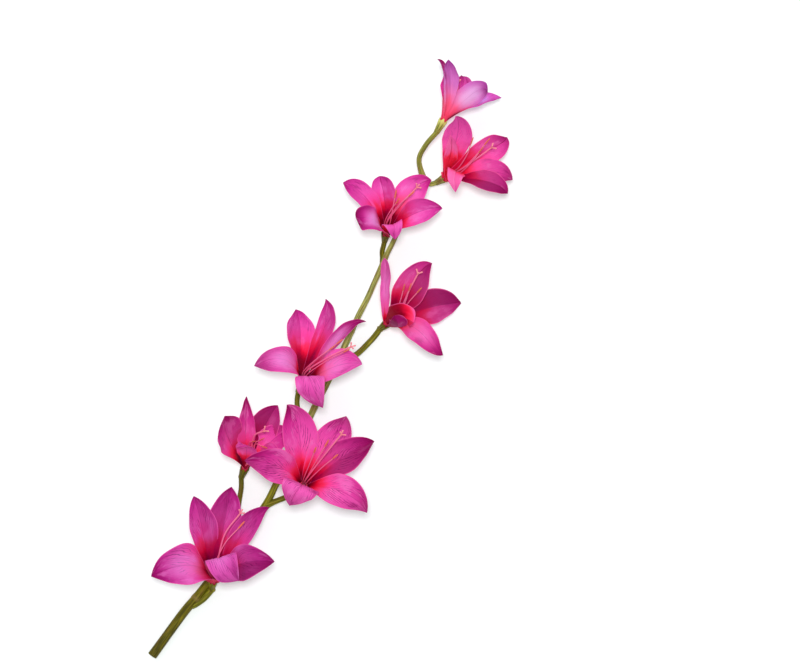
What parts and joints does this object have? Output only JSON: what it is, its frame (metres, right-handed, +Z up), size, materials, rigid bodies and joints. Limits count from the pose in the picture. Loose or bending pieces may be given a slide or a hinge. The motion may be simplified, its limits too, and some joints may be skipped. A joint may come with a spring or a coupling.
{
  "type": "gladiolus stem",
  "caption": "Cut gladiolus stem lying on its side: a curved green stem with open trumpet blooms on short alternate pedicels, each with stamens and a branched style.",
  "frame": {"origin": "centre of the stem's box at its lowest level, on the surface it lies on", "axes": "+Y along the stem from the cut end to the last blooms, +Z up from the surface, +X to the right of the stem as seen from above"},
  "size_m": [0.145, 0.57, 0.072],
  "materials": {
    "stem_green": "satin olive green, yellower towards the tip, with brownish pink bands at the joints",
    "petal_magenta": "soft magenta pink with fine darker veins, red to maroon in the throat",
    "stamen_coral": "pink filaments with orange anthers"
  },
  "bodies": {
    "root": {"stem": "stem_green", "bloom_1": "petal_magenta", "bloom_2": "petal_magenta", "bloom_3": "petal_magenta", "bloom_4": "petal_magenta", "bloom_5": "petal_magenta", "bloom_6": "petal_magenta", "bloom_7": "petal_magenta", "bloom_8": "petal_magenta", "stamens_1": "stamen_coral", "stamens_2": "stamen_coral", "stamens_3": "stamen_coral", "stamens_4": "stamen_coral", "stamens_5": "stamen_coral", "stamens_6": "stamen_coral", "stamens_7": "stamen_coral", "stamens_8": "stamen_coral"}
  },
  "joints": []
}
